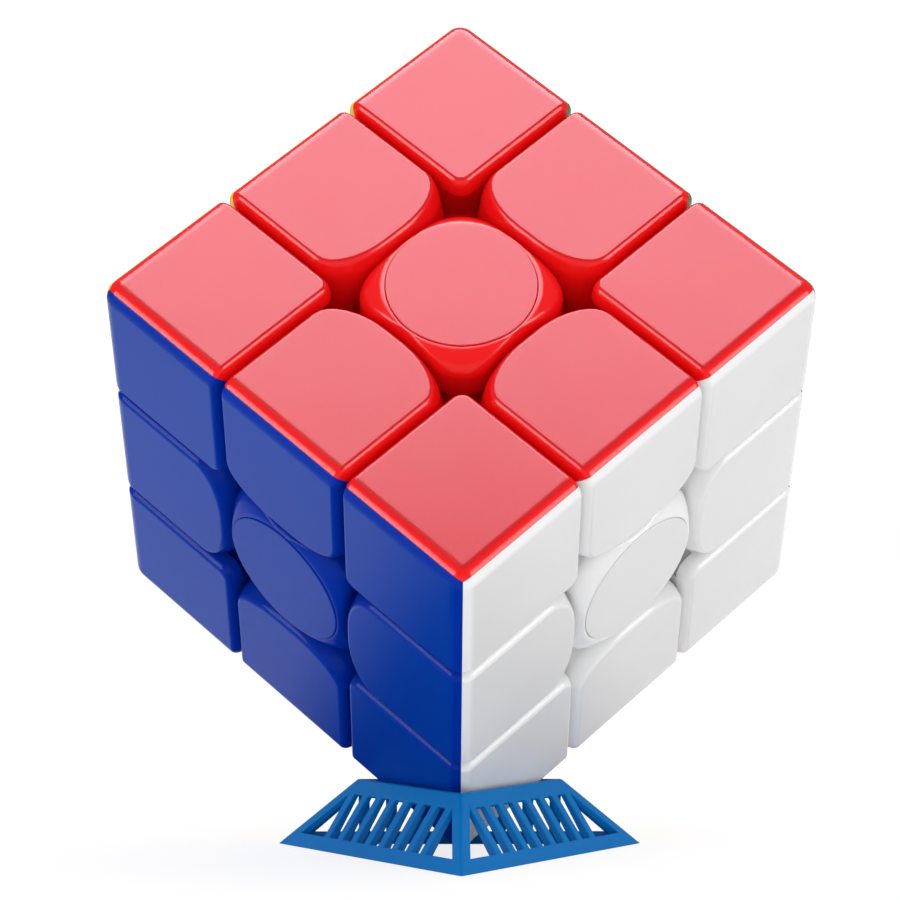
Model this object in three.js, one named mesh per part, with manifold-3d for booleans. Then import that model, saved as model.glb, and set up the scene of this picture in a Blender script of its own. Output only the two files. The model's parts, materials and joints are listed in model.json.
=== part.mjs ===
// A 3 x 3 x 3 twisty puzzle cube that stands on one corner in a small triangular stand.
// Millimetres, +Z up, origin on the floor under the cube's body diagonal. Cube pieces are shaped
// once, in a frame at the cube's centre with its axes along the layers, and turned into place.
import * as THREE from 'three';
import { RoundedBoxGeometry } from 'three/addons/geometries/RoundedBoxGeometry.js';
import { mergeVertices } from 'three/addons/utils/BufferGeometryUtils.js';
import Module from 'manifold-3d';

// Cube: outside, layers and clearances
const CUBE_EDGE = 56;
const HALF = CUBE_EDGE / 2;
const LAYER_CUT = CUBE_EDGE / 6;
const SIDE_GAP = 0.2;
const CUBE_ROUND = 2;
const TILE_ROUND = 1;
const EDGE_BOW = { along: 4.6, across: 7.8 };
const EDGE_DEEP = { round: 2.9, depth: 7.5 };

// Cube: the round track inside, where feet run under their neighbours
const TRACK_OUTER = 20.8;
const TRACK_INNER = 13.5;
const TRACK_GAP = 0.75;
const FOOT_CUT = 5;
const WALL = 1.4;
const FOOT_VENT = { radius: 2, start: 10, length: 14 };
const EDGE_STEM_TOP = 24;

// Centre stack: cap, body, spring, screw
const CAP_RADIUS = 8.25;
const CAP_THICKNESS = 1.5;
const CAP_RIM = 0.25;
const CAP_PLUG = { outer: 6.6, inner: 5.5, length: 2 };
const PART_GAP = 0.3;
const CUP = { radius: 7, floor: 22.8 };
const BODY_RIM = { half: 9, round: 8.99, drop: 0.3 };
const BODY_ROUND = 4.5;
const BODY_SHOULDER = 25.8;
const STEM_HALF = 4.7;
const STEM_FLOOR = { low: 12.8, high: 14.8 };
const BORE_RADIUS = 3.6;
const SCREW = { shank: 1.5, tip: 4.2, head: 3.25, seat: 20.7, top: 22.9, hole: 1.9, bevel: 0.5 };
const RECESS = { depth: 1.2, reach: 1.9, half: 0.45 };
const SPRING = { radius: 2.75, wire: 0.35, turns: 4 };

// Core
const HUB_RADIUS = 7;
const POST_RADIUS = 3.75;
const POST_END = 12.4;

// Stand: a hollow triangular frustum with a row of windows in each wall
const STAND_HEIGHT = 8.05;
const STAND_BASE_RADIUS = 24.9;
const STAND_TOP_RADIUS = 13.95;
const STAND_WALL = { base: 1.3, top: 0.65 };
const STAND_CORNER = 0.3;
const RAIL = { bottom: 1.9, top: 1.9 };
const POST_WIDTH = 2.1;
const WINDOWS = { count: 7, bar: 1.3 };
// Where the cube's lowest corner would be if it were sharp; its round keeps it off the floor
const SHARP_CORNER_HEIGHT = -0.5;

const FACES = {
  green: { normal: new THREE.Vector3(1, 0, 0), colour: 0x1a9a4a },
  yellow: { normal: new THREE.Vector3(0, 1, 0), colour: 0xf2d20c },
  red: { normal: new THREE.Vector3(0, 0, 1), colour: 0xdf1a2b },
  blue: { normal: new THREE.Vector3(-1, 0, 0), colour: 0x0a3f9e },
  white: { normal: new THREE.Vector3(0, -1, 0), colour: 0xececec },
  orange: { normal: new THREE.Vector3(0, 0, -1), colour: 0xf0731a },
};
const FACE_NAMES = Object.keys(FACES);

const wasm = await Module();
wasm.setup();

function solid(geometry) {
  const bare = geometry.clone();
  bare.deleteAttribute('normal');
  bare.deleteAttribute('uv');
  const merged = mergeVertices(bare, 1e-4);
  const mesh = new wasm.Mesh({
    numProp: 3,
    vertProperties: new Float32Array(merged.attributes.position.array),
    triVerts: new Uint32Array(merged.index.array),
  });
  return new wasm.Manifold(mesh);
}

function geometryOf(manifold) {
  const mesh = manifold.getMesh();
  const geometry = new THREE.BufferGeometry();
  geometry.setAttribute('position', new THREE.BufferAttribute(mesh.vertProperties, 3));
  geometry.setIndex(new THREE.BufferAttribute(mesh.triVerts, 1));
  const faceted = geometry.toNonIndexed();
  faceted.computeVertexNormals();
  return faceted;
}

function box(low, high) {
  const size = new THREE.Vector3().subVectors(high, low);
  const middle = new THREE.Vector3().addVectors(low, high).multiplyScalar(0.5);
  return solid(new THREE.BoxGeometry(...size.toArray()).translate(...middle.toArray()));
}

function block(x, y, z) {
  return box(new THREE.Vector3(x[0], y[0], z[0]), new THREE.Vector3(x[1], y[1], z[1]));
}

function ball(radius) {
  return solid(new THREE.IcosahedronGeometry(radius, 2));
}

// A round bar along +X between two stations
function barAlongX(radius, start, end, sides = 16) {
  const bar = new THREE.CylinderGeometry(radius, radius, end - start, sides);
  return solid(bar.rotateZ(-Math.PI / 2).translate((start + end) / 2, 0, 0));
}

// A profile of [radius, x] points spun about the X axis
function spunAboutX(profile, segments = 20) {
  const points = profile.map(([radius, x]) => new THREE.Vector2(radius, x));
  return solid(new THREE.LatheGeometry(points, segments).rotateZ(-Math.PI / 2));
}

// A closed skin over rings of points, each ring with the same number of points
function loft(rings) {
  const count = rings[0].length;
  const points = rings.flat();
  const index = [];
  for (let ring = 0; ring < rings.length - 1; ring += 1) {
    for (let i = 0; i < count; i += 1) {
      const a = ring * count + i;
      const b = ring * count + ((i + 1) % count);
      index.push(a, b, b + count, a, b + count, a + count);
    }
  }
  const last = (rings.length - 1) * count;
  for (let i = 1; i < count - 1; i += 1) {
    index.push(0, i + 1, i);
    index.push(last, last + i, last + i + 1);
  }
  const geometry = new THREE.BufferGeometry().setFromPoints(points);
  geometry.setIndex(index);
  return solid(geometry);
}

function roundedBlock(x, y, z, radius) {
  const size = [x, y, z].map(([low, high]) => high - low);
  const middle = [x, y, z].map(([low, high]) => (low + high) / 2);
  return solid(new RoundedBoxGeometry(...size, 1, radius).translate(...middle));
}

// The outside that all tiles share, with broader rounds along the cube's own edges
function wholeCube() {
  const span = [-HALF, HALF];
  return roundedBlock(span, span, span, CUBE_ROUND);
}

// The outline of an edge tile: a square whose end next to the centre is bowed, with elliptical
// corners. place(u, v) puts it in space, u running away from the centre of the face.
function edgeRing({ along, across }, place, steps = 4) {
  const near = LAYER_CUT + SIDE_GAP;
  const side = LAYER_CUT - SIDE_GAP;
  const points = [place(HALF, -side), place(HALF, side)];
  for (const [middle, start] of [[side - across, Math.PI / 2], [across - side, Math.PI]]) {
    for (let i = 0; i <= steps; i += 1) {
      const angle = start + i / steps * Math.PI / 2;
      const u = near + along + along * Math.cos(angle);
      points.push(place(u, middle + across * Math.sin(angle)));
    }
  }
  return points;
}

// The outline carried inwards from the +X face or the +Y face, squaring up as it goes
function edgePrism(fromX) {
  const square = { along: EDGE_DEEP.round, across: EDGE_DEEP.round };
  const stations = [[0, square], [HALF - EDGE_DEEP.depth, square], [HALF, EDGE_BOW]];
  const rings = stations.map(([station, bow]) => edgeRing(bow, (u, v) => (
    fromX ? new THREE.Vector3(station, u, v) : new THREE.Vector3(u, station, v))));
  return loft(fromX ? rings : rings.reverse());
}

// What every foot shares: the shell between the two track spheres
function track(piece) {
  return piece.intersect(ball(TRACK_OUTER)).subtract(ball(TRACK_INNER));
}

function trackRoom(piece) {
  return piece.intersect(ball(TRACK_OUTER - WALL)).subtract(ball(TRACK_INNER + WALL));
}

function cornerPiece() {
  const cut = LAYER_CUT + SIDE_GAP;
  const foot = FOOT_CUT + SIDE_GAP;
  const span = [cut, HALF];
  const inside = [cut + WALL, HALF - WALL];
  const shell = roundedBlock(span, span, span, TILE_ROUND).intersect(wholeCube());
  const footSpan = [foot, TRACK_OUTER];
  const footBlock = track(block(footSpan, footSpan, footSpan));
  const room = block(inside, inside, inside);
  const footInside = [foot + WALL, TRACK_OUTER];
  const footRoom = trackRoom(block(footInside, footInside, footInside));
  // The vent runs up the diagonal from the core side of the foot into the hollow shell
  const diagonal = new THREE.Quaternion().setFromUnitVectors(
    new THREE.Vector3(0, 1, 0), new THREE.Vector3(1, 1, 1).normalize());
  const vent = solid(new THREE.CylinderGeometry(
    FOOT_VENT.radius, FOOT_VENT.radius, FOOT_VENT.length, 12)
    .translate(0, FOOT_VENT.start + FOOT_VENT.length / 2, 0).applyQuaternion(diagonal));
  return shell.add(footBlock).subtract(room).subtract(footRoom).subtract(vent);
}

// The half of the edge piece that shows on the +X face; the other half is the same piece turned
function edgeHalf() {
  const cut = LAYER_CUT + SIDE_GAP;
  const side = LAYER_CUT - SIDE_GAP;
  const foot = FOOT_CUT + SIDE_GAP;
  const slim = FOOT_CUT - SIDE_GAP;
  const outer = roundedBlock([cut, HALF], [cut, HALF], [-side, side], TILE_ROUND)
    .intersect(wholeCube()).intersect(edgePrism(true)).intersect(edgePrism(false))
    .subtract(ball(TRACK_OUTER + TRACK_GAP));
  const stem = block([cut, EDGE_STEM_TOP], [cut, EDGE_STEM_TOP], [-slim, slim]);
  const footBlock = track(block([foot, TRACK_OUTER], [foot, TRACK_OUTER], [-slim, slim]));

  // The room stops short of the well rounded corners, so that their walls stay thick
  const rounded = [cut + EDGE_BOW.along, HALF - WALL];
  const room = block(rounded, rounded, [WALL - side, side - WALL])
    .subtract(ball(TRACK_OUTER + TRACK_GAP + WALL));
  const inside = [cut + WALL, HALF - WALL];
  const thin = slim - WALL;
  const stemRoom = block(inside, inside, [-thin, thin]);
  const footInside = [foot + WALL, TRACK_OUTER];
  const footRoom = trackRoom(block(footInside, footInside, [-thin, thin]));

  const seam = new THREE.Shape();
  seam.moveTo(SIDE_GAP, 0);
  seam.lineTo(CUBE_EDGE, 0);
  seam.lineTo(CUBE_EDGE, CUBE_EDGE - SIDE_GAP);
  const xSide = solid(new THREE.ExtrudeGeometry(seam, { depth: CUBE_EDGE, bevelEnabled: false })
    .translate(0, 0, -HALF));
  return outer.add(stem).add(footBlock).subtract(room).subtract(stemRoom).subtract(footRoom)
    .intersect(xSide);
}

// A ring across X: a square with rounded corners that are full quarter circles when round = half
function squareRing(x, half, round, steps = 4) {
  const points = [];
  for (let corner = 0; corner < 4; corner += 1) {
    const turn = corner * Math.PI / 2;
    for (let i = 0; i <= steps; i += 1) {
      const angle = turn + i / steps * Math.PI / 2;
      const shift = half - round;
      const mid = turn + Math.PI / 4;
      const y = Math.SQRT2 * shift * Math.cos(mid) + round * Math.cos(angle);
      const z = Math.SQRT2 * shift * Math.sin(mid) + round * Math.sin(angle);
      points.push(new THREE.Vector3(x, y, z));
    }
  }
  return points;
}

function centreBody() {
  const half = LAYER_CUT - SIDE_GAP;
  const skirt = loft([
    squareRing(TRACK_INNER, half, BODY_ROUND),
    squareRing(BODY_SHOULDER, half, BODY_ROUND),
    squareRing(HALF - BODY_RIM.drop, BODY_RIM.half, BODY_RIM.round),
  ]).subtract(ball(TRACK_OUTER + TRACK_GAP));
  const underCap = HALF - CAP_THICKNESS - PART_GAP;
  const stemSpan = [-STEM_HALF, STEM_HALF];
  const stem = block([STEM_FLOOR.low, CUP.floor], stemSpan, stemSpan);
  return skirt.add(stem)
    .subtract(barAlongX(CAP_RADIUS + PART_GAP, underCap, HALF, 20))
    .subtract(barAlongX(CUP.radius, CUP.floor, HALF, 20))
    .subtract(barAlongX(BORE_RADIUS, STEM_FLOOR.high, HALF))
    .subtract(barAlongX(SCREW.hole, 0, HALF));
}

function centreCap() {
  const under = HALF - CAP_THICKNESS;
  return spunAboutX([
    [0, under], [CAP_PLUG.inner, under], [CAP_PLUG.inner, under - CAP_PLUG.length],
    [CAP_PLUG.outer, under - CAP_PLUG.length], [CAP_PLUG.outer, under], [CAP_RADIUS, under],
    [CAP_RADIUS, HALF - CAP_RIM], [CAP_RADIUS - CAP_RIM, HALF], [0, HALF],
  ]);
}

function centreScrew() {
  const body = spunAboutX([
    [0, SCREW.tip], [SCREW.shank - SCREW.bevel, SCREW.tip],
    [SCREW.shank, SCREW.tip + SCREW.bevel], [SCREW.shank, SCREW.seat], [SCREW.head, SCREW.seat],
    [SCREW.head, SCREW.top - SCREW.bevel], [SCREW.head - SCREW.bevel, SCREW.top],
    [0, SCREW.top],
  ], 12);
  const depth = [SCREW.top - RECESS.depth, HALF];
  const long = [-RECESS.reach, RECESS.reach];
  const short = [-RECESS.half, RECESS.half];
  return body.subtract(block(depth, long, short)).subtract(block(depth, short, long));
}

class Helix extends THREE.Curve {
  constructor(radius, start, end, turns) {
    super();
    Object.assign(this, { radius, start, end, turns });
  }

  getPoint(t, target = new THREE.Vector3()) {
    const angle = t * this.turns * 2 * Math.PI;
    const x = this.start + (this.end - this.start) * t;
    return target.set(x, this.radius * Math.cos(angle), this.radius * Math.sin(angle));
  }
}

function centreSpring() {
  const start = STEM_FLOOR.high + PART_GAP + SPRING.wire;
  const end = SCREW.seat - PART_GAP - SPRING.wire;
  const path = new Helix(SPRING.radius, start, end, SPRING.turns);
  const wire = new THREE.Shape().absarc(0, 0, SPRING.wire, 0, 2 * Math.PI, false);
  const steps = Math.round(SPRING.turns * 8);
  const options = { steps, extrudePath: path, curveSegments: 3, bevelEnabled: false };
  return solid(new THREE.ExtrudeGeometry(wire, options));
}

function core() {
  let spider = solid(new THREE.IcosahedronGeometry(HUB_RADIUS, 2));
  let holes = null;
  for (const name of FACE_NAMES) {
    const turn = new THREE.Quaternion().setFromUnitVectors(
      new THREE.Vector3(0, 1, 0), FACES[name].normal);
    const post = new THREE.CylinderGeometry(POST_RADIUS, POST_RADIUS, POST_END, 16)
      .translate(0, POST_END / 2, 0).applyQuaternion(turn);
    const depth = HALF - SCREW.tip + PART_GAP;
    const radius = SCREW.shank + PART_GAP;
    const hole = solid(new THREE.CylinderGeometry(radius, radius, depth, 12)
      .translate(0, HALF - depth / 2, 0).applyQuaternion(turn));
    spider = spider.add(solid(post));
    holes = holes ? holes.add(hole) : hole;
  }
  return spider.subtract(holes);
}

// A triangle across Z with small rounded corners, one corner towards -Y
function triangleRing(z, radius, round) {
  const points = [];
  const inset = radius - 2 * round;
  for (let corner = 0; corner < 3; corner += 1) {
    const middle = -Math.PI / 2 + corner * 2 * Math.PI / 3;
    for (const lean of [-1, 0, 1]) {
      const angle = middle + lean * Math.PI / 3;
      const x = inset * Math.cos(middle) + round * Math.cos(angle);
      const y = inset * Math.sin(middle) + round * Math.sin(angle);
      points.push(new THREE.Vector3(x, y, z));
    }
  }
  return points;
}

// The windows of one wall, between bars square to its rails, with a triangle at each end.
// u runs along the wall from its middle, v up its slope from the floor.
function windowShapes(slope) {
  const low = RAIL.bottom;
  const high = slope - RAIL.top;
  const taper = (STAND_BASE_RADIUS - STAND_TOP_RADIUS) * Math.sin(Math.PI / 3) / slope;
  const halfAt = (v) => STAND_BASE_RADIUS * Math.sin(Math.PI / 3) - taper * v - POST_WIDTH;
  const last = halfAt(high);
  const pitch = (2 * last - WINDOWS.bar) / WINDOWS.count;
  const shapeOf = (points) => new THREE.Shape(points.map(([u, v]) => new THREE.Vector2(u, v)));
  const shapes = [
    shapeOf([[-halfAt(low), low], [-last, low], [-last, high]]),
    shapeOf([[last, low], [halfAt(low), low], [last, high]]),
  ];
  for (let i = 0; i < WINDOWS.count; i += 1) {
    const left = WINDOWS.bar - last + i * pitch;
    const right = left + pitch - WINDOWS.bar;
    shapes.push(shapeOf([[left, low], [right, low], [right, high], [left, high]]));
  }
  return shapes;
}

function stand() {
  const lean = STAND_BASE_RADIUS - STAND_TOP_RADIUS;
  const baseInside = STAND_BASE_RADIUS - 2 * STAND_WALL.base;
  const topInside = STAND_TOP_RADIUS - 2 * STAND_WALL.top;
  const past = 1;
  const grow = (baseInside - topInside) * past / STAND_HEIGHT;
  let frame = loft([
    triangleRing(0, STAND_BASE_RADIUS, STAND_CORNER),
    triangleRing(STAND_HEIGHT, STAND_TOP_RADIUS, STAND_CORNER),
  ]);
  frame = frame.subtract(loft([
    triangleRing(-past, baseInside + grow, STAND_CORNER / 2),
    triangleRing(STAND_HEIGHT + past, topInside - grow, STAND_CORNER / 2),
  ]));
  const slope = Math.hypot(STAND_HEIGHT, lean / 2);
  const tilt = Math.atan2(lean / 2, STAND_HEIGHT);
  for (let wall = 0; wall < 3; wall += 1) {
    const out = -Math.PI / 6 + wall * 2 * Math.PI / 3;
    for (const shape of windowShapes(slope)) {
      // (u, v, depth) stands up as (x = u, z = v), leans inwards, then faces the wall's way
      const cutter = new THREE.ExtrudeGeometry(shape, { depth: STAND_HEIGHT, bevelEnabled: false })
        .translate(0, 0, -STAND_HEIGHT / 2).rotateX(Math.PI / 2 - tilt)
        .translate(0, -STAND_BASE_RADIUS / 2, 0).rotateZ(out + Math.PI / 2);
      frame = frame.subtract(solid(cutter));
    }
  }
  return frame;
}

// Assembly
const puzzle = new THREE.Group();
const cube = new THREE.Group();
puzzle.add(cube);

// Green, yellow and red point up and outwards from the body diagonal, which stands upright
const rise = 1 / Math.sqrt(3);
const greenOut = new THREE.Vector3(Math.SQRT1_2, 1 / Math.sqrt(6), rise);
const yellowOut = new THREE.Vector3(-Math.SQRT1_2, 1 / Math.sqrt(6), rise);
const redOut = new THREE.Vector3(0, -2 / Math.sqrt(6), rise);
cube.quaternion.setFromRotationMatrix(
  new THREE.Matrix4().makeBasis(greenOut, yellowOut, redOut));
cube.position.z = SHARP_CORNER_HEIGHT + HALF * Math.sqrt(3);

function plastic(colour, roughness = 0.25) {
  return new THREE.MeshStandardMaterial({ color: colour, roughness, metalness: 0 });
}

const steel = new THREE.MeshStandardMaterial({ color: 0xb8bcc0, roughness: 0.3, metalness: 1 });
const coloured = {};
for (const name of FACE_NAMES) coloured[name] = plastic(FACES[name].colour);
const innerPlastic = plastic(0x2a2c30, 0.45);

function place(parent, name, geometry, material, first, second) {
  const mesh = new THREE.Mesh(geometry, material);
  mesh.name = name;
  if (first) {
    const a = FACES[first].normal;
    const b = FACES[second].normal;
    const c = new THREE.Vector3().crossVectors(a, b);
    mesh.quaternion.setFromRotationMatrix(new THREE.Matrix4().makeBasis(a, b, c));
  }
  parent.add(mesh);
}

const square = (a, b) => FACES[a].normal.dot(FACES[b].normal) === 0;
const rightHanded = (a, b, c) =>
  new THREE.Vector3().crossVectors(FACES[a].normal, FACES[b].normal).dot(FACES[c].normal) === 1;

place(cube, 'core', geometryOf(core()), innerPlastic);

const shapes = {
  cap: geometryOf(centreCap()),
  body: geometryOf(centreBody()),
  screw: geometryOf(centreScrew()),
  spring: geometryOf(centreSpring()),
  edge: geometryOf(edgeHalf()),
  corner: geometryOf(cornerPiece()),
};

for (const name of FACE_NAMES) {
  const beside = FACE_NAMES.find((other) => square(name, other));
  place(cube, `centre_cap_${name}`, shapes.cap, coloured[name], name, beside);
  place(cube, `centre_body_${name}`, shapes.body, coloured[name], name, beside);
  place(cube, `centre_screw_${name}`, shapes.screw, steel, name, beside);
  place(cube, `centre_spring_${name}`, shapes.spring, steel, name, beside);
}

for (const a of FACE_NAMES) {
  for (const b of FACE_NAMES) {
    if (!square(a, b)) continue;
    place(cube, `edge_shell_${a}_by_${b}`, shapes.edge, coloured[a], a, b);
  }
}

for (const [i, a] of FACE_NAMES.entries()) {
  for (const b of FACE_NAMES.slice(i + 1)) {
    for (const c of FACE_NAMES.slice(i + 1)) {
      if (square(a, b) && square(b, c) && square(a, c) && rightHanded(a, b, c)) {
        place(cube, `corner_${a}_${b}_${c}`, shapes.corner, coloured[a], a, b);
      }
    }
  }
}

place(puzzle, 'stand', geometryOf(stand()), plastic(0x0066b4, 0.35));

export default puzzle;
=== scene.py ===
import json
import math

import bmesh
import bpy
import numpy as np
from mathutils import Matrix, Vector


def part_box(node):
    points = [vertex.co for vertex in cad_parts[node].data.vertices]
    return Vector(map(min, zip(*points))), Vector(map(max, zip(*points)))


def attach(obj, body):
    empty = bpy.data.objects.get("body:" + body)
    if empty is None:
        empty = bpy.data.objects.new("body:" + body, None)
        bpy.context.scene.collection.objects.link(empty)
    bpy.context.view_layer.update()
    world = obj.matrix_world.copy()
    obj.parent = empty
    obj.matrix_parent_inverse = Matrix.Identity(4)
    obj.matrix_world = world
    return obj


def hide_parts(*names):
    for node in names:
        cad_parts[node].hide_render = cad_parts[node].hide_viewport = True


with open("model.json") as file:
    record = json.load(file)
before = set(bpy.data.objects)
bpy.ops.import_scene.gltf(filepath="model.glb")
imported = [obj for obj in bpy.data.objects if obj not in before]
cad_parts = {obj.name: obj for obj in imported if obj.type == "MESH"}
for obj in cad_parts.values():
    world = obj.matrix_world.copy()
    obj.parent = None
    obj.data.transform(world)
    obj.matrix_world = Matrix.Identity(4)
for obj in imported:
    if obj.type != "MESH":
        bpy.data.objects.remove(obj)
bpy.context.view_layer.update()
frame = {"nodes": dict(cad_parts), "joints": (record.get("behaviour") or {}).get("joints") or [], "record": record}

# ---------------------------------------------------------------- sizes from the frame
# Shapes are made in millimetres, in a cube frame: origin at the cube's middle, X out of the
# piece's own face. Each copy is then turned into place and scaled to metres.
MM = 0.001
FACES = ("green", "yellow", "red", "blue", "white", "orange")
JOINTS = {joint["name"]: joint for joint in frame["joints"]}
CENTRE = np.array(JOINTS["turn_red"]["pos_m"]) / MM


def node_points(node):
    return np.array([v.co for v in frame["nodes"][node].data.vertices], float) / MM


def outward(face):
    axis = np.array(JOINTS["turn_" + face]["axis"])
    return axis * np.sign(axis @ (node_points("centre_cap_" + face).mean(0) - CENTRE))


OUT = {face: outward(face) for face in FACES}
RED_CAP = (node_points("centre_cap_red") - CENTRE) @ OUT["red"]
HALF = float(RED_CAP.max())
LAYER = HALF / 3
SIDE_GAP = 0.16
# A spun profile starts and ends this close to its axis
AXIS = 0.01
# Fillets: round and broad along the cube's own edges, narrower towards the neighbours
OUTER_FILLET = 2.1
INNER_FILLET = 1.0
FILLET_STEPS = 7
# How far a shell's slanted side stands back from the plane it shares with the next shell
SEAM = 0.02

# Corner tiles: small round where the tile meets the hole round the centre
CORNER_INNER = 1.9
CORNER_NOTCH = {"depth": 2.1, "half": 1.75, "set_back": 2.4}
# Edge tiles: a bowed end next to the centre, which squares up with depth
EDGE_BOW = (4.6, 7.8)
EDGE_ROUND_DEEP = 2.9
EDGE_ROUND_DEPTH = 7.5

# The spherical track inside, where feet run under their neighbours
TRACK_OUTER = 20.8
TRACK_INNER = 13.5
TRACK_GAP = 0.4
FOOT_CUT = 5.0
FOOT_GAP = 0.25
FOOT_ROUND = 0.9
WALL = 1.4
# A hole along the corner's diagonal, in fractions of HALF
VENT_RADIUS = 2.0
VENT_SPAN = (0.25, 0.8)

CAP_RADIUS = 8.35
CAP_RIM = 0.12
CAP_THICK = 1.5
CAP_PLUG = (5.5, 6.6, 2.0)
CAP_RECESS = 8.41
SKIRT_TOP = 8.62
SKIRT_DROP = 0.16
SKIRT_SLOPE = 34
SKIRT_ROUND = 4.4
SKIRT_FLARE = 2.3
SKIRT_LEDGE = 5.2
LEDGE_ROUND = 7.2
STEM_HALF = 4.7
STEM_LOW, STEM_HIGH = 12.8, 14.8
BORE = 3.6
CUP = 7.0
CUP_FLOOR = 22.8
SCREW_HOLE = 1.9


# ---------------------------------------------------------------- mesh helpers
def mesh_of(points, faces, name="shape"):
    mesh = bpy.data.meshes.new(name)
    mesh.from_pydata([tuple(p) for p in points], [], faces)
    return mesh


def loft(rings):
    """A closed skin over rings of points, capped at both ends; equal counts in every ring."""
    rings = np.asarray(rings, float)
    count = rings.shape[1]
    faces = []
    for r in range(len(rings) - 1):
        for i in range(count):
            j = (i + 1) % count
            faces.append([r * count + i, r * count + j, (r + 1) * count + j, (r + 1) * count + i])
    faces.append(list(range(count))[::-1])
    faces.append(list(range((len(rings) - 1) * count, len(rings) * count)))
    return outward_facing(mesh_of(rings.reshape(-1, 3), faces))


def outward_facing(mesh, merge=1e-5):
    work = bmesh.new()
    work.from_mesh(mesh)
    bmesh.ops.remove_doubles(work, verts=work.verts, dist=merge)
    bmesh.ops.dissolve_degenerate(work, edges=work.edges, dist=merge)
    bmesh.ops.recalc_face_normals(work, faces=work.faces)
    work.to_mesh(mesh)
    work.free()
    return mesh


def combine(shape, tool, operation):
    """Boolean of two closed meshes: UNION, DIFFERENCE or INTERSECT."""
    first = bpy.data.objects.new("first", shape)
    second = bpy.data.objects.new("second", tool)
    for thing in (first, second):
        bpy.context.scene.collection.objects.link(thing)
    modifier = first.modifiers.new("combine", "BOOLEAN")
    modifier.operation = operation
    modifier.object = second
    modifier.solver = "EXACT"
    graph = bpy.context.evaluated_depsgraph_get()
    result = bpy.data.meshes.new_from_object(first.evaluated_get(graph))
    for thing in (first, second):
        bpy.data.objects.remove(thing)
    return outward_facing(result)


def slice_off(shape, point, direction):
    """Cuts away what lies beyond a plane and closes the cut."""
    work = bmesh.new()
    work.from_mesh(shape)
    parts = work.verts[:] + work.edges[:] + work.faces[:]
    cut = bmesh.ops.bisect_plane(
        work, geom=parts, plane_co=point, plane_no=direction, clear_outer=True)
    rim = [e for e in cut["geom_cut"] if isinstance(e, bmesh.types.BMEdge)]
    bmesh.ops.contextual_create(work, geom=rim)
    bmesh.ops.recalc_face_normals(work, faces=work.faces)
    work.to_mesh(shape)
    work.free()
    return shape


def block(low, high, rounding=0.0):
    work = bmesh.new()
    size = np.subtract(high, low)
    middle = np.add(high, low) / 2
    matrix = Matrix.Translation(middle) @ Matrix.Diagonal((*size, 1))
    bmesh.ops.create_cube(work, size=1, matrix=matrix)
    if rounding:
        bmesh.ops.bevel(work, geom=work.edges[:], offset=rounding, segments=4, profile=0.5,
                        affect="EDGES", clamp_overlap=True)
    mesh = bpy.data.meshes.new("block")
    work.to_mesh(mesh)
    work.free()
    return mesh


def ball(radius, detail=5):
    work = bmesh.new()
    bmesh.ops.create_icosphere(work, subdivisions=detail, radius=radius)
    mesh = bpy.data.meshes.new("ball")
    work.to_mesh(mesh)
    work.free()
    return mesh


def spun(profile, segments=96):
    """A profile of (radius, x) points, from axis to axis, spun about X."""
    rings = []
    turns = np.linspace(0, 2 * math.pi, segments, endpoint=False)
    for radius, x in profile:
        rings.append([(x, radius * math.cos(t), radius * math.sin(t)) for t in turns])
    return loft(rings)


def arc(middle, radius, start, end, steps):
    """Points of a circular arc in (radius, x), with angles in degrees."""
    angles = np.radians(np.linspace(start, end, steps + 1))
    return [(middle[0] + radius * math.cos(a), middle[1] + radius * math.sin(a)) for a in angles]


def rounded_ring(x, low, high, rounds, steps=8):
    """A rectangle across X with its own elliptical round at each corner, given as its reach
    along Y and Z: (+,+), (-,+), (-,-), (+,-)."""
    corners = ((1, 1, 0), (0, 1, 90), (0, 0, 180), (1, 0, 270))
    points = []
    for (side_y, side_z, start), (round_y, round_z) in zip(corners, rounds):
        y = high[0] - round_y if side_y else low[0] + round_y
        z = high[1] - round_z if side_z else low[1] + round_z
        for angle in np.radians(np.linspace(start, start + 90, steps + 1)):
            points.append((x, y + round_y * math.cos(angle), z + round_z * math.sin(angle)))
    return points


def ease(t):
    t = min(max(t, 0.0), 1.0)
    return t * t * (3 - 2 * t)


# ---------------------------------------------------------------- coloured shells
def tile_block(low, high, rounds_at, bottom, lows_are_outer=False):
    """A block that stands on X, with a filleted tile on top; rounds_at gives its four corner
    rounds at a depth below the tile. Its high Y side is always one of the cube's own edges."""
    rings = []
    tiny = 0.004
    broad, slim = OUTER_FILLET, INNER_FILLET
    sides = np.array([[slim, slim], [broad, broad if lows_are_outer else slim]])
    for step in range(FILLET_STEPS + 1):
        turn = math.pi / 2 * step / FILLET_STEPS
        inset = sides * (1 - math.sin(turn))
        depth = broad * (1 - math.cos(turn))
        rounds = []
        for corner, (y, z) in zip(rounds_at(depth), ((1, 1), (0, 1), (0, 0), (1, 0))):
            rounds.append([max(corner[0] - inset[y][0], tiny), max(corner[1] - inset[z][1], tiny)])
        rings.append(rounded_ring(HALF - depth, np.add(low, inset[0]), np.subtract(high, inset[1]),
                                  rounds))
    for depth in np.linspace(broad, HALF - bottom, 12)[1:]:
        rings.append(rounded_ring(HALF - depth, low, high, rounds_at(depth)))
    return loft(rings)


def wedge(shape, directions):
    """Keeps the part nearest to the +X face: X is the largest coordinate."""
    for direction in directions:
        normal = Vector(direction) - Vector((1, 0, 0))
        slice_off(shape, (SEAM, 0, 0), normal)
    return shape


def foot_block(low, high):
    foot = block(low, high, FOOT_ROUND)
    foot = combine(foot, ball(TRACK_OUTER), "INTERSECT")
    return combine(foot, ball(TRACK_INNER, 4), "DIFFERENCE")


def foot_room(low, high):
    room = combine(block(low, high), ball(TRACK_OUTER - WALL, 3), "INTERSECT")
    return combine(room, ball(TRACK_INNER + WALL, 3), "DIFFERENCE")


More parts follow.
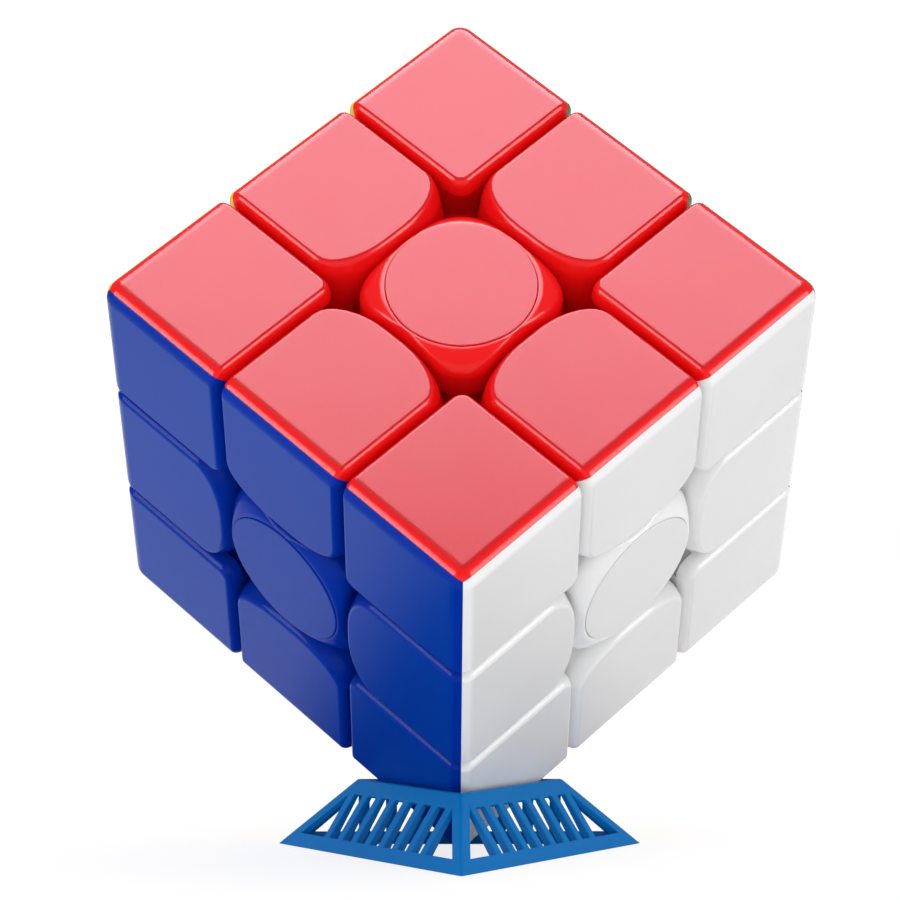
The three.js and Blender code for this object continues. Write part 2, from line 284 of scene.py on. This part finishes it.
def corner_shell():
    near = LAYER + SIDE_GAP
    foot = FOOT_CUT + FOOT_GAP
    broad, slim = OUTER_FILLET, INNER_FILLET
    rounds = [(broad, broad), (slim, broad), (CORNER_INNER, CORNER_INNER), (broad, slim)]
    sides = [(0, 1, 0), (0, 0, 1)]
    shell = tile_block((near, near), (HALF, HALF), lambda depth: rounds, near, True)
    shell = wedge(shell, sides)
    under = wedge(foot_block((foot,) * 3, (HALF,) * 3), sides)
    shell = combine(shell, under, "UNION")
    room = block((near + 2 * WALL,) * 3, (HALF - WALL,) * 3)
    shell = combine(shell, room, "DIFFERENCE")
    inside = foot_room((foot + WALL,) * 3, (TRACK_OUTER,) * 3)
    shell = combine(shell, inside, "DIFFERENCE")
    vent = spun([(VENT_RADIUS, HALF * reach) for reach in VENT_SPAN], 32)
    turn = Vector((1, 0, 0)).rotation_difference(Vector((1, 1, 1)))
    vent.transform(turn.to_matrix().to_4x4())
    shell = combine(shell, vent, "DIFFERENCE")
    return combine(shell, corner_notch(near), "DIFFERENCE")


def corner_notch(near):
    """Sets the shell's inner edge back below its tile, beside the hole round the centre."""
    half, back = CORNER_NOTCH["half"], CORNER_NOTCH["set_back"]
    notch = block((TRACK_OUTER, -2 * half, -half), (HALF - CORNER_NOTCH["depth"], back, half))
    notch.transform(Matrix.Translation((0, near, near)) @ Matrix.Rotation(math.pi / 4, 4, "X"))
    return notch


def edge_rounds(depth):
    t = min(max(depth - INNER_FILLET, 0) / (EDGE_ROUND_DEPTH - INNER_FILLET), 1)
    inner = [bow + (EDGE_ROUND_DEEP - bow) * t ** 0.7 for bow in EDGE_BOW]
    outer = (OUTER_FILLET, INNER_FILLET)
    return (outer, inner, inner, outer)


def edge_shell():
    near = LAYER + SIDE_GAP
    side = LAYER - SIDE_GAP
    foot = FOOT_CUT + FOOT_GAP
    slim = FOOT_CUT - FOOT_GAP
    sides = [(0, 1, 0)]
    shell = wedge(tile_block((near, -side), (HALF, side), edge_rounds, near), sides)
    shell = combine(shell, ball(TRACK_OUTER + TRACK_GAP), "DIFFERENCE")
    stem = wedge(block((near, near, -slim), (HALF - 4, HALF - 4, slim)), sides)
    shell = combine(shell, stem, "UNION")
    under = wedge(foot_block((foot, foot, -slim), (HALF, HALF, slim)), sides)
    shell = combine(shell, under, "UNION")
    room = block((near + 4, near + 4, WALL - side), (HALF - WALL, HALF - WALL, side - WALL))
    room = combine(room, ball(TRACK_OUTER + TRACK_GAP + WALL, 3), "DIFFERENCE")
    shell = combine(shell, room, "DIFFERENCE")
    thin = slim - WALL
    passage = block((near + WALL, near + WALL, -thin), (HALF - WALL, HALF - WALL, thin))
    shell = combine(shell, passage, "DIFFERENCE")
    inside = foot_room((foot + WALL, foot + WALL, -thin), (TRACK_OUTER, TRACK_OUTER, thin))
    return combine(shell, inside, "DIFFERENCE")


# ---------------------------------------------------------------- centre stack
def centre_body():
    side = LAYER - SIDE_GAP
    rings = []

    def ring(x, half, rounding):
        corners = ((rounding, rounding),) * 4
        rings.append(rounded_ring(x, (-half,) * 2, (half,) * 2, corners, 14))

    start = math.radians(SKIRT_SLOPE)
    for turn in np.linspace(start, math.pi / 2, 10):
        t = (math.sin(turn) - math.sin(start)) / (1 - math.sin(start))
        depth = SKIRT_DROP + SKIRT_FLARE * (1 - math.cos(turn) / math.cos(start))
        half = SKIRT_TOP + (side - SKIRT_TOP) * t
        rounding = SKIRT_TOP - 0.001 + (SKIRT_ROUND - SKIRT_TOP) * t
        ring(HALF - depth, half, rounding)
    ring(HALF - SKIRT_LEDGE, side, SKIRT_ROUND)
    for x in (HALF - SKIRT_LEDGE - 0.2, TRACK_INNER):
        ring(x, side, LEDGE_ROUND)
    body = loft(rings)
    body = combine(body, ball(TRACK_OUTER + TRACK_GAP), "DIFFERENCE")
    stem = block((STEM_LOW, -STEM_HALF, -STEM_HALF), (CUP_FLOOR, STEM_HALF, STEM_HALF))
    body = combine(body, stem, "UNION")
    under_cap = HALF - CAP_THICK - SIDE_GAP
    bores = ((CAP_RECESS, under_cap), (CUP, CUP_FLOOR), (BORE, STEM_HIGH), (SCREW_HOLE, 0))
    for radius, start in bores:
        body = combine(body, spun([(radius, start), (radius, HALF)], 64), "DIFFERENCE")
    return body


def centre_cap():
    under = HALF - CAP_THICK
    inner, outer, length = CAP_PLUG
    rim = arc((CAP_RADIUS - CAP_RIM, HALF - CAP_RIM), CAP_RIM, 0, 90, 4)
    return spun([
        (AXIS, under), (inner, under), (inner, under - length), (outer, under - length),
        (outer, under), (CAP_RADIUS, under), *rim, (AXIS, HALF)])


# ---------------------------------------------------------------- placing
def turned(first, second):
    """The matrix from the cube frame, X out of one face and Y out of another, to the row."""
    third = np.cross(OUT[first], OUT[second])
    basis = np.stack([OUT[first], OUT[second], third], axis=1)
    matrix = Matrix(basis).to_4x4()
    return Matrix.Scale(MM, 4) @ Matrix.Translation(CENTRE) @ matrix


def square(first, second):
    return abs(OUT[first] @ OUT[second]) < 0.5


def smooth(mesh, sharp_degrees=32):
    for polygon in mesh.polygons:
        polygon.use_smooth = True
    mesh.set_sharp_from_angle(angle=math.radians(sharp_degrees))


def piece(name, shape, matrix, material, body, nodes):
    mesh = shape.copy()
    mesh.name = name
    mesh.transform(matrix)
    smooth(mesh)
    mesh.materials.clear()
    mesh.materials.append(material)
    thing = bpy.data.objects.new(name, mesh)
    bpy.context.scene.collection.objects.link(thing)
    normals = thing.modifiers.new("flat tiles", "WEIGHTED_NORMAL")
    normals.keep_sharp = True
    normals.weight = 100
    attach(thing, body)
    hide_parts(*nodes)
    return thing


# ---------------------------------------------------------------- core, screws, springs
POST_RADIUS = 3.75
POST_END = 12.4
HUB_RADIUS = 7.0
SHANK = 1.5
SCREW_TIP, SCREW_SEAT, SCREW_TOP = 4.2, 20.7, 22.9
SCREW_HEAD = 3.25
RECESS = (0.42, 1.9, 1.3)
SPRING_RADIUS = 2.75
SPRING_WIRE = 0.35
SPRING_TURNS = 4
SPRING_SPAN = (15.45, 20.05)
THREAD_PITCH = 0.9
THREAD_DEPTH = 0.22


def core():
    spider = ball(HUB_RADIUS, 4)
    lip = 0.5
    end = arc((POST_RADIUS - lip, POST_END - lip), lip, 0, 90, 4)
    post = spun([(AXIS, 0), (POST_RADIUS, 0), *end, (AXIS, POST_END)], 48)
    hole = spun([(AXIS, SCREW_TIP - 0.3), (SHANK + 0.3, SCREW_TIP - 0.3),
                 (SHANK + 0.3, HALF), (AXIS, HALF)], 32)
    directions = [Vector(v) for v in ((1, 0, 0), (-1, 0, 0), (0, 1, 0), (0, -1, 0),
                                      (0, 0, 1), (0, 0, -1))]
    turns = [Vector((1, 0, 0)).rotation_difference(d).to_matrix().to_4x4() for d in directions]
    for turn in turns:
        arm = post.copy()
        arm.transform(turn)
        spider = combine(spider, arm, "UNION")
    for turn in turns:
        bore = hole.copy()
        bore.transform(turn)
        spider = combine(spider, bore, "DIFFERENCE")
    return spider


def screw():
    """Pan head, cross recess, and a thread cut as rings on the lower shank."""
    profile = [(AXIS, SCREW_TIP), (SHANK - 0.5, SCREW_TIP), (SHANK - THREAD_DEPTH, SCREW_TIP + 0.7)]
    x = SCREW_TIP + 0.9
    while x < POST_END - THREAD_PITCH:
        profile += [(SHANK - THREAD_DEPTH, x), (SHANK, x + THREAD_PITCH * 0.35),
                    (SHANK, x + THREAD_PITCH * 0.5)]
        x += THREAD_PITCH
    profile += [(SHANK - THREAD_DEPTH, x), (SHANK, x + 0.5), (SHANK, SCREW_SEAT),
                (SCREW_HEAD, SCREW_SEAT), (SCREW_HEAD, SCREW_TOP - 1.2)]
    profile += arc((SCREW_HEAD - 1.0, SCREW_TOP - 1.0), 1.0, 10, 90, 5)
    body = spun([*profile, (AXIS, SCREW_TOP)], 40)
    half, reach, depth = RECESS
    for y, z in ((half, reach), (reach, half)):
        slot = block((SCREW_TOP - depth, -y, -z), (SCREW_TOP + 1, y, z), 0.1)
        body = combine(body, slot, "DIFFERENCE")
    return body


def spring():
    """A compression spring with its end turns laid closed."""
    steps = SPRING_TURNS * 28
    sides = 10
    low, high = SPRING_SPAN
    rings = []
    for step in range(steps + 1):
        t = step / steps
        angle = t * SPRING_TURNS * 2 * math.pi
        climb = ease(t)
        x = low + (high - low) * (0.35 * t + 0.65 * climb)
        out = Vector((0, math.cos(angle), math.sin(angle)))
        ring = []
        for side in range(sides):
            turn = 2 * math.pi * side / sides
            point = Vector((x, 0, 0)) + out * (SPRING_RADIUS + SPRING_WIRE * math.cos(turn))
            ring.append(point + Vector((SPRING_WIRE * math.sin(turn), 0, 0)))
        rings.append(ring)
    return loft(rings)


# ---------------------------------------------------------------- stand
STAND_LOW, STAND_HIGH = (np.array(corner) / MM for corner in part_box("stand"))
STAND_HEIGHT = STAND_HIGH[2]
STAND_CORNER = 0.3
STAND_BASE_RADIUS = STAND_CORNER - STAND_LOW[1]
STAND_TOP_RADIUS = 13.95
STAND_WALL = {"base": 1.3, "top": 0.65}
RAIL_BOTTOM, RAIL_TOP = 1.9, 1.9
POST_WIDTH = 2.1
WINDOW_COUNT = 7
BAR = 1.3
STAND_EDGE = 0.16


def triangle_ring(z, radius, rounding, steps=5):
    points = []
    inset = radius - 2 * rounding
    for corner in range(3):
        middle = -math.pi / 2 + corner * 2 * math.pi / 3
        for lean in np.linspace(-1, 1, steps):
            angle = middle + lean * math.pi / 3
            points.append((inset * math.cos(middle) + rounding * math.cos(angle),
                           inset * math.sin(middle) + rounding * math.sin(angle), z))
    return points


def window_outlines(slope):
    """Openings of one wall, seen square to it: u from its middle, v up its slope."""
    low, high = RAIL_BOTTOM, slope - RAIL_TOP
    wide = math.sin(math.pi / 3)
    fall = (STAND_BASE_RADIUS - STAND_TOP_RADIUS) * wide / slope

    def half_at(v):
        return STAND_BASE_RADIUS * wide - fall * v - POST_WIDTH

    last = half_at(high)
    pitch = (2 * last - BAR) / WINDOW_COUNT
    outlines = [[(-half_at(low), low), (-last, low), (-last, high)],
                [(last, low), (half_at(low), low), (last, high)]]
    for i in range(WINDOW_COUNT):
        left = BAR - last + i * pitch
        right = left + pitch - BAR
        outlines.append([(left, low), (right, low), (right, high), (left, high)])
    return outlines


def stand():
    lean = STAND_BASE_RADIUS - STAND_TOP_RADIUS
    base_inside = STAND_BASE_RADIUS - 2 * STAND_WALL["base"]
    top_inside = STAND_TOP_RADIUS - 2 * STAND_WALL["top"]
    past = 1.0
    grow = (base_inside - top_inside) * past / STAND_HEIGHT
    frame_ = loft([triangle_ring(0, STAND_BASE_RADIUS, STAND_CORNER),
                   triangle_ring(STAND_HEIGHT, STAND_TOP_RADIUS, STAND_CORNER)])
    hollow = loft([triangle_ring(-past, base_inside + grow, STAND_CORNER / 2),
                   triangle_ring(STAND_HEIGHT + past, top_inside - grow, STAND_CORNER / 2)])
    frame_ = combine(frame_, hollow, "DIFFERENCE")
    slope = math.hypot(STAND_HEIGHT, lean / 2)
    tilt = math.atan2(lean / 2, STAND_HEIGHT)
    reach = 4.0
    for wall in range(3):
        face = wall * 2 * math.pi / 3 + math.pi / 3
        place = (Matrix.Rotation(face, 4, "Z")
                 @ Matrix.Translation((0, -STAND_BASE_RADIUS / 2, 0))
                 @ Matrix.Rotation(-tilt, 4, "X"))
        for outline in window_outlines(slope):
            cutter = loft([[(u, d, v) for u, v in outline] for d in (-reach, reach)])
            cutter.transform(place)
            frame_ = combine(frame_, cutter, "DIFFERENCE")
    return frame_


# ---------------------------------------------------------------- materials
# Noise scales are in turns per metre, bump heights in metres, and drifts are factors
COLOUR_DRIFT, DRIFT_SCALE = (0.94, 1.06), 55
GLOSS_DRIFT, GLOSS_SCALE = (0.8, 1.25), 220
RIPPLE_HEIGHT, RIPPLE_SCALE = 0.001, 120
GRAIN_HEIGHT, GRAIN_SCALE = 0.0001, 9000
# How far below its flat top a tile stops having its frost and its painted top colour, and how much rougher the
# frost is
FROST_AND_PAINTED_TOP_DEPTH, FROST_AND_PAINTED_TOP_EDGE = 0.16, 0.02
FROST_ROUGHNESS = 0.04


def linear(red, green, blue):
    def one(value):
        value /= 255
        return value / 12.92 if value <= 0.04045 else ((value + 0.055) / 1.055) ** 2.4
    return (one(red), one(green), one(blue), 1.0)


def plastic(name, colour, roughness=0.2, grain=0.012, ripple=0.02, specular=0.25):
    """Moulded plastic: faint colour drift, uneven gloss, a fine skin and a slow ripple."""
    material = bpy.data.materials.new(name)
    material.use_nodes = True
    nodes, links = material.node_tree.nodes, material.node_tree.links
    shader = nodes["Principled BSDF"]
    shader.inputs["Specular IOR Level"].default_value = specular
    place = nodes.new("ShaderNodeTexCoord")
    place.name = "place"

    def noise(scale, detail=2.0, rough=0.5):
        texture = nodes.new("ShaderNodeTexNoise")
        texture.inputs["Scale"].default_value = scale
        texture.inputs["Detail"].default_value = detail
        texture.inputs["Roughness"].default_value = rough
        links.new(place.outputs["Object"], texture.inputs["Vector"])
        return texture.outputs["Fac"]

    drift = nodes.new("ShaderNodeMapRange")
    drift.inputs["To Min"].default_value, drift.inputs["To Max"].default_value = COLOUR_DRIFT
    links.new(noise(DRIFT_SCALE, 3), drift.inputs["Value"])
    tint = nodes.new("ShaderNodeVectorMath")
    tint.name = "tint"
    tint.operation = "SCALE"
    tint.inputs[0].default_value = colour[:3]
    links.new(drift.outputs["Result"], tint.inputs["Scale"])
    links.new(tint.outputs["Vector"], shader.inputs["Base Color"])

    gloss = nodes.new("ShaderNodeMapRange")
    gloss.name = "gloss"
    gloss.inputs["To Min"].default_value = roughness * GLOSS_DRIFT[0]
    gloss.inputs["To Max"].default_value = roughness * GLOSS_DRIFT[1]
    links.new(noise(GLOSS_SCALE, 4, 0.6), gloss.inputs["Value"])
    links.new(gloss.outputs["Result"], shader.inputs["Roughness"])

    slow = nodes.new("ShaderNodeBump")
    slow.inputs["Strength"].default_value = ripple
    slow.inputs["Distance"].default_value = RIPPLE_HEIGHT
    links.new(noise(RIPPLE_SCALE, 1), slow.inputs["Height"])
    fine = nodes.new("ShaderNodeBump")
    fine.inputs["Strength"].default_value = grain
    fine.inputs["Distance"].default_value = GRAIN_HEIGHT
    links.new(noise(GRAIN_SCALE, 3, 0.6), fine.inputs["Height"])
    links.new(slow.outputs["Normal"], fine.inputs["Normal"])
    links.new(fine.outputs["Normal"], shader.inputs["Normal"])
    return material


def tile_plastic(face, sides, top, specular=0.25):
    """Plastic that is polished on the sides of the tiles and has a rougher frost on their flat tops; the tops also
    get a colour of their own, painted darker (lighter on blue) for how the overhead sheen lights them.
    """
    material = plastic(face + "_plastic", sides, roughness=0.17, specular=specular)
    nodes, links = material.node_tree.nodes, material.node_tree.links
    height = nodes.new("ShaderNodeVectorMath")
    height.operation = "DOT_PRODUCT"
    height.inputs[1].default_value = OUT[face]
    links.new(nodes["place"].outputs["Object"], height.inputs[0])
    level = (HALF + CENTRE @ OUT[face]) * MM
    # Mask over each tile's flat top: it adds the rougher frost and mixes in the painted top colour
    frost_and_painted_top = nodes.new("ShaderNodeMapRange")
    frost_and_painted_top.inputs["From Min"].default_value = level - FROST_AND_PAINTED_TOP_DEPTH * MM
    frost_and_painted_top.inputs["From Max"].default_value = level - FROST_AND_PAINTED_TOP_EDGE * MM
    links.new(height.outputs["Value"], frost_and_painted_top.inputs["Value"])

    # Painted shade: the flat tops take a darker copy of the colour, lighter on blue, for how the overhead sheen
    # lights them
    colour = nodes.new("ShaderNodeMix")
    colour.data_type = "RGBA"
    colour.inputs["A"].default_value = sides
    colour.inputs["B"].default_value = top
    links.new(frost_and_painted_top.outputs["Result"], colour.inputs["Factor"])
    links.new(colour.outputs["Result"], nodes["tint"].inputs[0])
    rough = nodes.new("ShaderNodeMath")
    rough.operation = "MULTIPLY_ADD"
    rough.inputs[1].default_value = FROST_ROUGHNESS
    links.new(frost_and_painted_top.outputs["Result"], rough.inputs[0])
    links.new(nodes["gloss"].outputs["Result"], rough.inputs[2])
    links.new(rough.outputs["Value"], nodes["Principled BSDF"].inputs["Roughness"])
    return material


def metal(name, colour, roughness=0.28):
    """Plated steel: the same uneven gloss and grain as the plastic, without its ripple."""
    material = plastic(name, colour, roughness, grain=0.05, ripple=0.0)
    shader = material.node_tree.nodes["Principled BSDF"]
    shader.inputs["Metallic"].default_value = 1.0
    return material


# Per face: the sides' colour, then the flat tops' colour, a copy painted darker (lighter on blue) for how the
# overhead sheen lights the tops
PLASTICS = {
    "red": tile_plastic("red", linear(236, 18, 20), linear(197, 16, 24)),
    "blue": tile_plastic("blue", linear(0, 46, 156), linear(0, 57, 157), specular=0.07),
    "white": tile_plastic("white", linear(236, 236, 236), linear(221, 221, 221)),
    "green": tile_plastic("green", linear(10, 140, 58), linear(12, 122, 52)),
    "yellow": tile_plastic("yellow", linear(236, 200, 14), linear(208, 178, 14)),
    "orange": tile_plastic("orange", linear(236, 98, 14), linear(204, 86, 14)),
}
CORE_PLASTIC = plastic("core_plastic", linear(44, 46, 50), roughness=0.4, grain=0.05)
STEEL = metal("plated_steel", linear(196, 198, 200))
STAND_PLASTIC = plastic("stand_plastic", linear(0, 115, 190), roughness=0.36, grain=0.06,
                        specular=0.08)

# ---------------------------------------------------------------- assembly
BODIES = {node: body for body, nodes in frame["record"]["behaviour"]["bodies"].items()
          for node in nodes}
SHAPES = {
    "corner": corner_shell(), "edge": edge_shell(), "body": centre_body(), "cap": centre_cap(),
    "screw": screw(), "spring": spring(),
}

for face in FACES:
    beside = next(other for other in FACES if square(face, other))
    where = turned(face, beside)
    for part, slot, material in (("cap", face, PLASTICS[face]), ("body", face, PLASTICS[face]),
                                 ("screw", "steel", STEEL), ("spring", "steel", STEEL)):
        node = f"centre_{part}_{face}"
        piece(f"{part}_{face}", SHAPES[part], where, material, BODIES[node], [node])

for node in [n for n in frame["nodes"] if n.startswith("edge_shell_")]:
    first, second = node.removeprefix("edge_shell_").split("_by_")
    piece(f"edge_{first}_by_{second}", SHAPES["edge"], turned(first, second), PLASTICS[first],
          BODIES[node], [node])

for node in [n for n in frame["nodes"] if n.startswith("corner_")]:
    around = node.removeprefix("corner_").split("_")
    for i, first in enumerate(around):
        second = around[(i + 1) % 3]
        piece(f"{node}_{first}_shell", SHAPES["corner"], turned(first, second),
              PLASTICS[first], BODIES[node], [node])

piece("core_spider", core(), turned("green", "yellow"), CORE_PLASTIC, BODIES["core"], ["core"])
holder = piece("display_stand", stand(), Matrix.Scale(MM, 4), STAND_PLASTIC, BODIES["stand"],
               ["stand"])
soften = holder.modifiers.new("softened edges", "BEVEL")
soften.width = STAND_EDGE * MM
soften.segments = 2
soften.limit_method = "ANGLE"
soften.angle_limit = math.radians(35)
holder.modifiers.move(1, 0)

# ---------------------------------------------------------------- camera, light, floor
scene = bpy.context.scene


def look(thing, eye, target):
    thing.location = eye
    aim = (Vector(target) - Vector(eye)).to_track_quat("-Z", "Y")
    thing.rotation_euler = aim.to_euler()


CENTRE_M = Vector(CENTRE * MM)
camera = bpy.data.objects.new("camera", bpy.data.cameras.new("camera"))
scene.collection.objects.link(camera)
CAMERA_DISTANCE = 0.4264
CAMERA_DROP = 0.00535
CAMERA_SIDE = -0.00274
LENS_MM = 148.4
SENSOR_MM = 36
CAMERA_AIM = Vector((0.0037, 1, 0.0087))
eye = CENTRE_M + Vector((CAMERA_SIDE, -CAMERA_DISTANCE, -CAMERA_DROP))
look(camera, eye, eye + CAMERA_AIM)
camera.data.lens = LENS_MM
camera.data.sensor_width = SENSOR_MM
camera.data.clip_start = 0.01
scene.camera = camera

FLOOR_HALF = 3
FLOOR_GREY = (0.96, 0.96, 0.96, 1)
# The floor's glow for the camera, and its share of what the camera sees
FLOOR_GLOW, FLOOR_GLOW_SHARE = 1.05, 0.75
# Where the floor's painted shade, seen only in reflections, goes from dark to bright, in metres
# from the middle, and what share of the shade is left beyond
SHADE_REACH = (0.036, 0.058)
SHADE_LEFT = 0.1
outline = [(x * FLOOR_HALF, y * FLOOR_HALF, 0) for x, y in ((-1, -1), (1, -1), (1, 1), (-1, 1))]
floor = bpy.data.objects.new("floor", mesh_of(outline, [[0, 1, 2, 3]], "floor"))
scene.collection.objects.link(floor)


def pale_floor():
    """White paper that glows for the camera, so that it shows only a faint shadow and tint.
    Reflections see a painted shade on it near the object, where the cube hangs over it."""
    material = bpy.data.materials.new("pale_floor")
    material.use_nodes = True
    nodes, links = material.node_tree.nodes, material.node_tree.links
    paper = nodes["Principled BSDF"]
    paper.inputs["Base Color"].default_value = FLOOR_GREY
    paper.inputs["Roughness"].default_value = 0.9
    light_path = nodes.new("ShaderNodeLightPath")

    glow = nodes.new("ShaderNodeEmission")
    glow.inputs["Strength"].default_value = FLOOR_GLOW
    seen = nodes.new("ShaderNodeMath")
    seen.operation = "MULTIPLY"
    seen.inputs[1].default_value = FLOOR_GLOW_SHARE
    links.new(light_path.outputs["Is Camera Ray"], seen.inputs[0])
    lit = nodes.new("ShaderNodeMixShader")
    links.new(seen.outputs["Value"], lit.inputs["Fac"])
    links.new(paper.outputs["BSDF"], lit.inputs[1])
    links.new(glow.outputs["Emission"], lit.inputs[2])

    place = nodes.new("ShaderNodeTexCoord")
    far = nodes.new("ShaderNodeVectorMath")
    far.operation = "LENGTH"
    links.new(place.outputs["Object"], far.inputs[0])
    shade = nodes.new("ShaderNodeMapRange")
    shade.inputs["From Min"].default_value, shade.inputs["From Max"].default_value = SHADE_REACH
    shade.inputs["To Min"].default_value = 1.0
    shade.inputs["To Max"].default_value = SHADE_LEFT
    links.new(far.outputs["Value"], shade.inputs["Value"])
    # Painted shade: glossy rays see the floor black near the middle, fading out beyond SHADE_REACH
    mirrored = nodes.new("ShaderNodeMath")
    mirrored.operation = "MULTIPLY"
    links.new(light_path.outputs["Is Glossy Ray"], mirrored.inputs[0])
    links.new(shade.outputs["Result"], mirrored.inputs[1])
    dark = nodes.new("ShaderNodeEmission")
    dark.inputs["Strength"].default_value = 0.0
    both = nodes.new("ShaderNodeMixShader")
    links.new(mirrored.outputs["Value"], both.inputs["Fac"])
    links.new(lit.outputs["Shader"], both.inputs[1])
    links.new(dark.outputs["Emission"], both.inputs[2])
    links.new(both.outputs["Shader"], nodes["Material Output"].inputs["Surface"])
    return material


floor.data.materials.append(pale_floor())


def softbox(name, direction, size, watts, colour=(1, 1, 1)):
    """A rectangular lamp that looks at the cube's middle from LAMP_DISTANCE."""
    data = bpy.data.lights.new(name, "AREA")
    data.shape = "RECTANGLE"
    data.size, data.size_y = size
    data.energy = watts
    data.color = colour
    lamp = bpy.data.objects.new(name, data)
    scene.collection.objects.link(lamp)
    look(lamp, CENTRE_M + Vector(direction).normalized() * LAMP_DISTANCE, CENTRE_M)
    return lamp


LAMP_DISTANCE = 1.0
PANEL_SIZE, PANEL_WATTS = (0.5, 0.5), 7.5
softbox("key", (-0.35, -0.5, 1), (0.5, 0.5), 0.5)

# These show only as reflections: a sheet overhead, and a panel on each side
only_reflected = [
    softbox("sheen", (0, 0.03, 0.99), (0.8, 0.9), 25.0, (1, 0.98, 1.1)),
    softbox("left_panel", (-0.82, -0.52, 0.14), PANEL_SIZE, PANEL_WATTS),
    softbox("right_panel", (0.82, -0.52, 0.14), PANEL_SIZE, PANEL_WATTS),
]
for lamp in only_reflected:
    lamp.visible_diffuse = False
    lamp.visible_camera = False

world = bpy.data.worlds.new("studio")
scene.world = world
world.use_nodes = True
sky = world.node_tree.nodes["Background"]
sky.inputs["Color"].default_value = (1, 1, 1, 1)
# Bright all round, but reflected only faintly
SKY_STRENGTH, SKY_REFLECTED = 1.08, 0.25
path = world.node_tree.nodes.new("ShaderNodeLightPath")
strength = world.node_tree.nodes.new("ShaderNodeMapRange")
strength.inputs["To Min"].default_value = SKY_STRENGTH
strength.inputs["To Max"].default_value = SKY_REFLECTED
world.node_tree.links.new(path.outputs["Is Glossy Ray"], strength.inputs["Value"])
world.node_tree.links.new(strength.outputs["Result"], sky.inputs["Strength"])
scene.view_settings.view_transform = "Standard"
